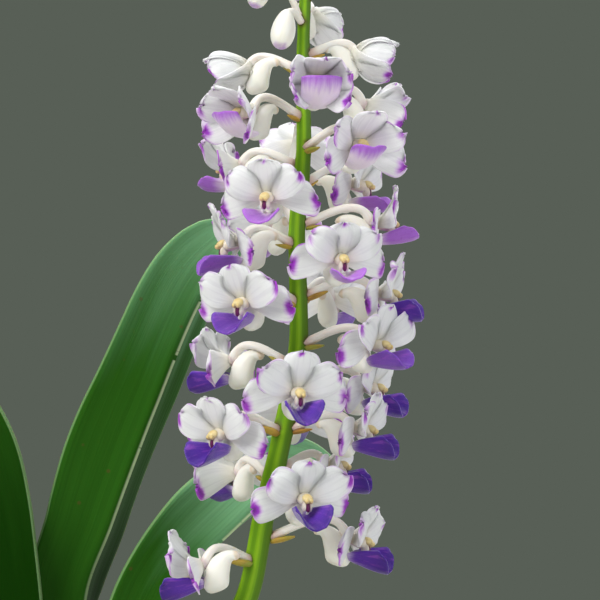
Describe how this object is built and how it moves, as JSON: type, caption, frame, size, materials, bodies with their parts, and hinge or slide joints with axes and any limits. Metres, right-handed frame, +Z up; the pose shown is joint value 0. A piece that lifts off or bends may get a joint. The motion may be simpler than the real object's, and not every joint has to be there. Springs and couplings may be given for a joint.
{
  "type": "potted foxtail orchid, Rhynchostylis coelestis",
  "caption": "Foxtail orchid in flower: keeled strap leaves, thick aerial roots and a leaning spike of white blooms with violet lips, in a clay pot of bark.",
  "frame": {"origin": "middle of the pot's underside", "axes": "+Z up along the pot; +X towards the side that the flower spike leans to; -Y towards the side that the spike faces"},
  "size_m": [0.2005, 0.112, 0.291],
  "materials": {
    "petal": "soft waxy petal, white with violet tips and lip",
    "bud": "soft waxy bud",
    "stalk": "smooth fleshy stalk",
    "leaf": "smooth leathery leaf",
    "stem": "fibrous leaf sheaths",
    "root": "silvery spongy root",
    "bark": "rough bark chips",
    "clay": "unglazed fired clay"
  },
  "bodies": {
    "root": {"pot": "clay", "potting_bark": "bark", "stem": "stem", "root_1": "root", "root_2": "root", "root_3": "root", "root_4": "root", "root_5": "root", "leaf_right_1": "leaf", "leaf_right_2": "leaf", "leaf_right_3": "leaf", "leaf_left_1": "leaf", "leaf_left_2": "leaf", "leaf_left_3": "leaf", "flower_stalk": "stalk", "bud_01": "bud", "bud_02": "bud", "bud_51": "bud", "bud_53": "bud", "bud_54": "bud", "bud_55": "bud", "bud_56": "bud", "bud_57": "bud", "bloom_03": "petal", "bloom_04": "petal", "bloom_05": "petal", "bloom_06": "petal", "bloom_07": "petal", "bloom_08": "petal", "bloom_09": "petal", "bloom_10": "petal", "bloom_11": "petal", "bloom_12": "petal", "bloom_13": "petal", "bloom_14": "petal", "bloom_15": "petal", "bloom_16": "petal", "bloom_17": "petal", "bloom_19": "petal", "bloom_20": "petal", "bloom_21": "petal", "bloom_22": "petal", "bloom_23": "petal", "bloom_24": "petal", "bloom_25": "petal", "bloom_26": "petal", "bloom_27": "petal", "bloom_28": "petal", "bloom_29": "petal", "bloom_41": "petal", "bloom_43": "petal", "bloom_44": "petal", "bloom_47": "petal"}
  },
  "joints": []
}
